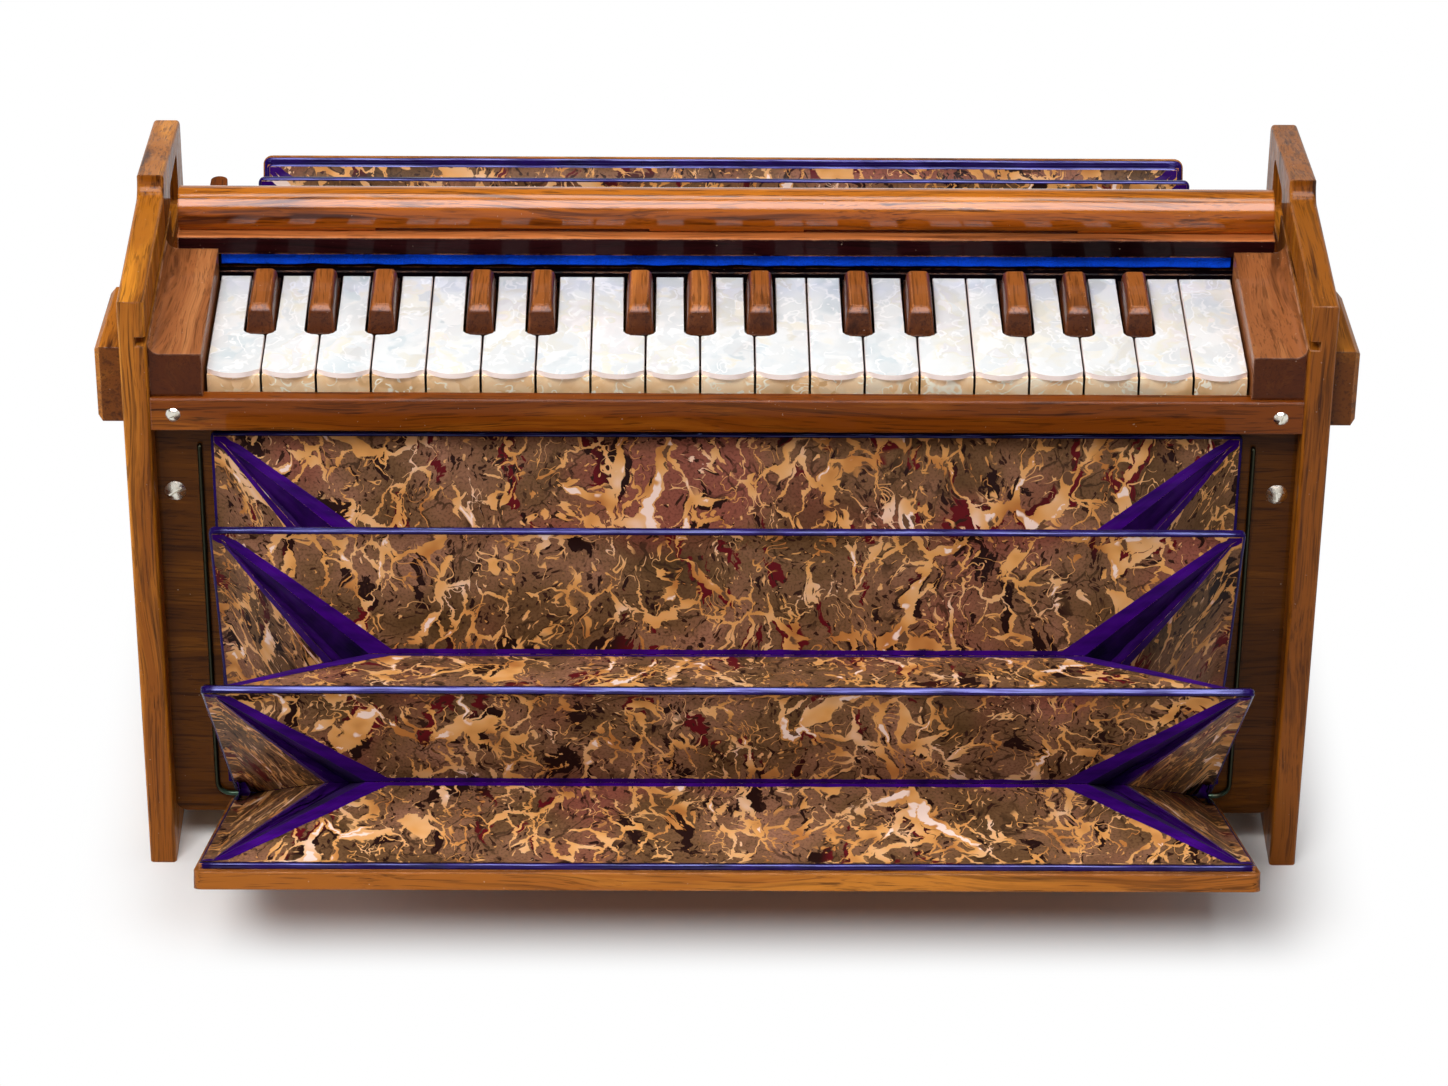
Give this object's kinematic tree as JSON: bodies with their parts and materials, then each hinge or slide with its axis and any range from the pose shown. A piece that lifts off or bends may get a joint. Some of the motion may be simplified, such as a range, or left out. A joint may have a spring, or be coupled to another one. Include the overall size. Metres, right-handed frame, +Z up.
{
  "type": "portable harmonium",
  "caption": "Portable hand-pumped reed organ: varnished wooden case, pearly keyboard, and folding paper and leather bellows at front and rear.",
  "frame": {"origin": "on the floor plane, midway between the side boards and midway between the outer edges of the open front and rear bellows", "axes": "+Z up, +X along the keyboard towards the high notes, -Y towards the player"},
  "size_m": [0.5058, 0.4104, 0.278],
  "materials": {
    "varnished_wood": "glossy varnish over brown wood with dark grain",
    "panel_wood": "glossy varnish over darker brown wood",
    "plain_wood": "bare pale wood inside the case",
    "dark_wood": "glossy varnish over red brown wood",
    "pearl_plastic": "pearly plastic, white and cream, polished",
    "blue_felt": "bright blue wool felt",
    "purple_leather": "smooth thin purple leather with a slight sheen",
    "marbled_paper": "marbled paper over card: brown, cream, crimson and black",
    "valve_leather": "soft natural leather",
    "brass": "dull brass, green at the bends",
    "steel": "nickel plated steel, a little worn"
  },
  "bodies": {
    "root": {"side_board_left": "varnished_wood", "side_board_right": "varnished_wood", "front_panel": "panel_wood", "rear_panel": "panel_wood", "bottom_board": "plain_wood", "top_cover": "varnished_wood", "front_rail": "varnished_wood", "cheek_blocks": "varnished_wood", "name_ledge": "varnished_wood", "name_felt": "blue_felt", "round_bar": "varnished_wood", "reed_pan": "plain_wood", "reeds": "brass", "balance_rail": "plain_wood", "key_wires": "steel", "flap_valves": "valve_leather", "case_screws": "steel", "hinge_wire": "brass", "fixed_fold_frames": "purple_leather", "front_pleats": "marbled_paper", "rear_pleats": "marbled_paper"},
    "white_key_01": {"white_key_01": "pearl_plastic"},
    "white_key_02": {"white_key_02": "pearl_plastic"},
    "white_key_03": {"white_key_03": "pearl_plastic"},
    "white_key_04": {"white_key_04": "pearl_plastic"},
    "white_key_05": {"white_key_05": "pearl_plastic"},
    "white_key_06": {"white_key_06": "pearl_plastic"},
    "white_key_07": {"white_key_07": "pearl_plastic"},
    "white_key_08": {"white_key_08": "pearl_plastic"},
    "white_key_09": {"white_key_09": "pearl_plastic"},
    "white_key_10": {"white_key_10": "pearl_plastic"},
    "white_key_11": {"white_key_11": "pearl_plastic"},
    "white_key_12": {"white_key_12": "pearl_plastic"},
    "white_key_13": {"white_key_13": "pearl_plastic"},
    "white_key_14": {"white_key_14": "pearl_plastic"},
    "white_key_15": {"white_key_15": "pearl_plastic"},
    "white_key_16": {"white_key_16": "pearl_plastic"},
    "white_key_17": {"white_key_17": "pearl_plastic"},
    "white_key_18": {"white_key_18": "pearl_plastic"},
    "white_key_19": {"white_key_19": "pearl_plastic"},
    "sharp_key_01": {"sharp_key_01": "dark_wood"},
    "sharp_key_02": {"sharp_key_02": "dark_wood"},
    "sharp_key_03": {"sharp_key_03": "dark_wood"},
    "sharp_key_04": {"sharp_key_04": "dark_wood"},
    "sharp_key_05": {"sharp_key_05": "dark_wood"},
    "sharp_key_06": {"sharp_key_06": "dark_wood"},
    "sharp_key_07": {"sharp_key_07": "dark_wood"},
    "sharp_key_08": {"sharp_key_08": "dark_wood"},
    "sharp_key_09": {"sharp_key_09": "dark_wood"},
    "sharp_key_10": {"sharp_key_10": "dark_wood"},
    "sharp_key_11": {"sharp_key_11": "dark_wood"},
    "sharp_key_12": {"sharp_key_12": "dark_wood"},
    "sharp_key_13": {"sharp_key_13": "dark_wood"},
    "turn_button_left": {"turn_button_left": "dark_wood"},
    "turn_button_right": {"turn_button_right": "dark_wood"},
    "front_fold_frame_1": {"front_fold_frame_1": "purple_leather"},
    "front_fold_frame_2": {"front_fold_frame_2": "purple_leather"},
    "front_board": {"front_board": "varnished_wood"},
    "rear_fold_frame": {"rear_fold_frame": "purple_leather"},
    "rear_board": {"rear_board": "varnished_wood"}
  },
  "joints": [
    {"name": "white_key_01_press", "type": "hinge", "parent": "root", "child": "white_key_01", "pos_m": [-0.2024, 0.05686, 0.217], "axis": [1, 0, 0], "range_deg": [0, 3.5], "stiffness_Nm_per_rad": 0.3, "springref_deg": -5.73},
    {"name": "white_key_02_press", "type": "hinge", "parent": "root", "child": "white_key_02", "pos_m": [-0.1773, 0.05686, 0.217], "axis": [1, 0, 0], "range_deg": [0, 3.5], "stiffness_Nm_per_rad": 0.3, "springref_deg": -5.73},
    {"name": "white_key_03_press", "type": "hinge", "parent": "root", "child": "white_key_03", "pos_m": [-0.1527, 0.05686, 0.217], "axis": [1, 0, 0], "range_deg": [0, 3.5], "stiffness_Nm_per_rad": 0.3, "springref_deg": -5.73},
    {"name": "white_key_04_press", "type": "hinge", "parent": "root", "child": "white_key_04", "pos_m": [-0.1276, 0.05686, 0.217], "axis": [1, 0, 0], "range_deg": [0, 3.5], "stiffness_Nm_per_rad": 0.3, "springref_deg": -5.73},
    {"name": "white_key_05_press", "type": "hinge", "parent": "root", "child": "white_key_05", "pos_m": [-0.1139, 0.05686, 0.217], "axis": [1, 0, 0], "range_deg": [0, 3.5], "stiffness_Nm_per_rad": 0.3, "springref_deg": -5.73},
    {"name": "white_key_06_press", "type": "hinge", "parent": "root", "child": "white_key_06", "pos_m": [-0.088, 0.05686, 0.217], "axis": [1, 0, 0], "range_deg": [0, 3.5], "stiffness_Nm_per_rad": 0.3, "springref_deg": -5.73},
    {"name": "white_key_07_press", "type": "hinge", "parent": "root", "child": "white_key_07", "pos_m": [-0.0621, 0.05686, 0.217], "axis": [1, 0, 0], "range_deg": [0, 3.5], "stiffness_Nm_per_rad": 0.3, "springref_deg": -5.73},
    {"name": "white_key_08_press", "type": "hinge", "parent": "root", "child": "white_key_08", "pos_m": [-0.0484, 0.05686, 0.217], "axis": [1, 0, 0], "range_deg": [0, 3.5], "stiffness_Nm_per_rad": 0.3, "springref_deg": -5.73},
    {"name": "white_key_09_press", "type": "hinge", "parent": "root", "child": "white_key_09", "pos_m": [-0.0233, 0.05686, 0.217], "axis": [1, 0, 0], "range_deg": [0, 3.5], "stiffness_Nm_per_rad": 0.3, "springref_deg": -5.73},
    {"name": "white_key_10_press", "type": "hinge", "parent": "root", "child": "white_key_10", "pos_m": [0.0013, 0.05686, 0.217], "axis": [1, 0, 0], "range_deg": [0, 3.5], "stiffness_Nm_per_rad": 0.3, "springref_deg": -5.73},
    {"name": "white_key_11_press", "type": "hinge", "parent": "root", "child": "white_key_11", "pos_m": [0.0264, 0.05686, 0.217], "axis": [1, 0, 0], "range_deg": [0, 3.5], "stiffness_Nm_per_rad": 0.3, "springref_deg": -5.73},
    {"name": "white_key_12_press", "type": "hinge", "parent": "root", "child": "white_key_12", "pos_m": [0.0401, 0.05686, 0.217], "axis": [1, 0, 0], "range_deg": [0, 3.5], "stiffness_Nm_per_rad": 0.3, "springref_deg": -5.73},
    {"name": "white_key_13_press", "type": "hinge", "parent": "root", "child": "white_key_13", "pos_m": [0.066, 0.05686, 0.217], "axis": [1, 0, 0], "range_deg": [0, 3.5], "stiffness_Nm_per_rad": 0.3, "springref_deg": -5.73},
    {"name": "white_key_14_press", "type": "hinge", "parent": "root", "child": "white_key_14", "pos_m": [0.0919, 0.05686, 0.217], "axis": [1, 0, 0], "range_deg": [0, 3.5], "stiffness_Nm_per_rad": 0.3, "springref_deg": -5.73},
    {"name": "white_key_15_press", "type": "hinge", "parent": "root", "child": "white_key_15", "pos_m": [0.1056, 0.05686, 0.217], "axis": [1, 0, 0], "range_deg": [0, 3.5], "stiffness_Nm_per_rad": 0.3, "springref_deg": -5.73},
    {"name": "white_key_16_press", "type": "hinge", "parent": "root", "child": "white_key_16", "pos_m": [0.1307, 0.05686, 0.217], "axis": [1, 0, 0], "range_deg": [0, 3.5], "stiffness_Nm_per_rad": 0.3, "springref_deg": -5.73},
    {"name": "white_key_17_press", "type": "hinge", "parent": "root", "child": "white_key_17", "pos_m": [0.1553, 0.05686, 0.217], "axis": [1, 0, 0], "range_deg": [0, 3.5], "stiffness_Nm_per_rad": 0.3, "springref_deg": -5.73},
    {"name": "white_key_18_press", "type": "hinge", "parent": "root", "child": "white_key_18", "pos_m": [0.1804, 0.05686, 0.217], "axis": [1, 0, 0], "range_deg": [0, 3.5], "stiffness_Nm_per_rad": 0.3, "springref_deg": -5.73},
    {"name": "white_key_19_press", "type": "hinge", "parent": "root", "child": "white_key_19", "pos_m": [0.198, 0.05686, 0.217], "axis": [1, 0, 0], "range_deg": [0, 3.5], "stiffness_Nm_per_rad": 0.3, "springref_deg": -5.73},
    {"name": "sharp_key_01_press", "type": "hinge", "parent": "root", "child": "sharp_key_01", "pos_m": [-0.1896, 0.05686, 0.217], "axis": [1, 0, 0], "range_deg": [0, 3.5], "stiffness_Nm_per_rad": 0.3, "springref_deg": -5.73},
    {"name": "sharp_key_02_press", "type": "hinge", "parent": "root", "child": "sharp_key_02", "pos_m": [-0.165, 0.05686, 0.217], "axis": [1, 0, 0], "range_deg": [0, 3.5], "stiffness_Nm_per_rad": 0.3, "springref_deg": -5.73},
    {"name": "sharp_key_03_press", "type": "hinge", "parent": "root", "child": "sharp_key_03", "pos_m": [-0.1404, 0.05686, 0.217], "axis": [1, 0, 0], "range_deg": [0, 3.5], "stiffness_Nm_per_rad": 0.3, "springref_deg": -5.73},
    {"name": "sharp_key_04_press", "type": "hinge", "parent": "root", "child": "sharp_key_04", "pos_m": [-0.1006, 0.05686, 0.217], "axis": [1, 0, 0], "range_deg": [0, 3.5], "stiffness_Nm_per_rad": 0.3, "springref_deg": -5.73},
    {"name": "sharp_key_05_press", "type": "hinge", "parent": "root", "child": "sharp_key_05", "pos_m": [-0.0754, 0.05686, 0.217], "axis": [1, 0, 0], "range_deg": [0, 3.5], "stiffness_Nm_per_rad": 0.3, "springref_deg": -5.73},
    {"name": "sharp_key_06_press", "type": "hinge", "parent": "root", "child": "sharp_key_06", "pos_m": [-0.0356, 0.05686, 0.217], "axis": [1, 0, 0], "range_deg": [0, 3.5], "stiffness_Nm_per_rad": 0.3, "springref_deg": -5.73},
    {"name": "sharp_key_07_press", "type": "hinge", "parent": "root", "child": "sharp_key_07", "pos_m": [-0.011, 0.05686, 0.217], "axis": [1, 0, 0], "range_deg": [0, 3.5], "stiffness_Nm_per_rad": 0.3, "springref_deg": -5.73},
    {"name": "sharp_key_08_press", "type": "hinge", "parent": "root", "child": "sharp_key_08", "pos_m": [0.0136, 0.05686, 0.217], "axis": [1, 0, 0], "range_deg": [0, 3.5], "stiffness_Nm_per_rad": 0.3, "springref_deg": -5.73},
    {"name": "sharp_key_09_press", "type": "hinge", "parent": "root", "child": "sharp_key_09", "pos_m": [0.0534, 0.05686, 0.217], "axis": [1, 0, 0], "range_deg": [0, 3.5], "stiffness_Nm_per_rad": 0.3, "springref_deg": -5.73},
    {"name": "sharp_key_10_press", "type": "hinge", "parent": "root", "child": "sharp_key_10", "pos_m": [0.0786, 0.05686, 0.217], "axis": [1, 0, 0], "range_deg": [0, 3.5], "stiffness_Nm_per_rad": 0.3, "springref_deg": -5.73},
    {"name": "sharp_key_11_press", "type": "hinge", "parent": "root", "child": "sharp_key_11", "pos_m": [0.1184, 0.05686, 0.217], "axis": [1, 0, 0], "range_deg": [0, 3.5], "stiffness_Nm_per_rad": 0.3, "springref_deg": -5.73},
    {"name": "sharp_key_12_press", "type": "hinge", "parent": "root", "child": "sharp_key_12", "pos_m": [0.143, 0.05686, 0.217], "axis": [1, 0, 0], "range_deg": [0, 3.5], "stiffness_Nm_per_rad": 0.3, "springref_deg": -5.73},
    {"name": "sharp_key_13_press", "type": "hinge", "parent": "root", "child": "sharp_key_13", "pos_m": [0.1676, 0.05686, 0.217], "axis": [1, 0, 0], "range_deg": [0, 3.5], "stiffness_Nm_per_rad": 0.3, "springref_deg": -5.73},
    {"name": "front_fold_1_swing", "type": "hinge", "parent": "root", "child": "front_fold_frame_1", "pos_m": [0, -0.04124, 0.028], "axis": [-1, 0, 0], "range_deg": [0, 16.31]},
    {"name": "front_fold_2_swing", "type": "hinge", "parent": "front_fold_frame_1", "child": "front_fold_frame_2", "pos_m": [0, -0.04124, 0.028], "axis": [-1, 0, 0], "range_deg": [0, 21.31]},
    {"name": "front_board_swing", "type": "hinge", "parent": "front_fold_frame_2", "child": "front_board", "pos_m": [0, -0.04124, 0.028], "axis": [-1, 0, 0], "range_deg": [0, 20.8], "deforming": ["front_pleats"]},
    {"name": "rear_fold_swing", "type": "hinge", "parent": "root", "child": "rear_fold_frame", "pos_m": [0, 0.10697, 0.028], "axis": [1, 0, 0], "range_deg": [0, 11.31]},
    {"name": "rear_board_swing", "type": "hinge", "parent": "rear_fold_frame", "child": "rear_board", "pos_m": [0, 0.10697, 0.028], "axis": [1, 0, 0], "range_deg": [0, 11.3], "deforming": ["rear_pleats"]},
    {"name": "turn_button_left_turn", "type": "hinge", "parent": "root", "child": "turn_button_left", "pos_m": [-0.215, 0.09786, 0.2353], "axis": [0, 0, 1], "range_deg": [-90, 0]},
    {"name": "turn_button_right_turn", "type": "hinge", "parent": "root", "child": "turn_button_right", "pos_m": [0.206, 0.09786, 0.2353], "axis": [0, 0, 1], "range_deg": [-90, 0]}
  ],
  "couplings": [
    {"joint": "front_fold_1_swing", "follows": "front_board_swing", "ratio": 0.7837},
    {"joint": "front_fold_2_swing", "follows": "front_board_swing", "ratio": 1.024},
    {"joint": "rear_fold_swing", "follows": "rear_board_swing", "ratio": 1}
  ]
}
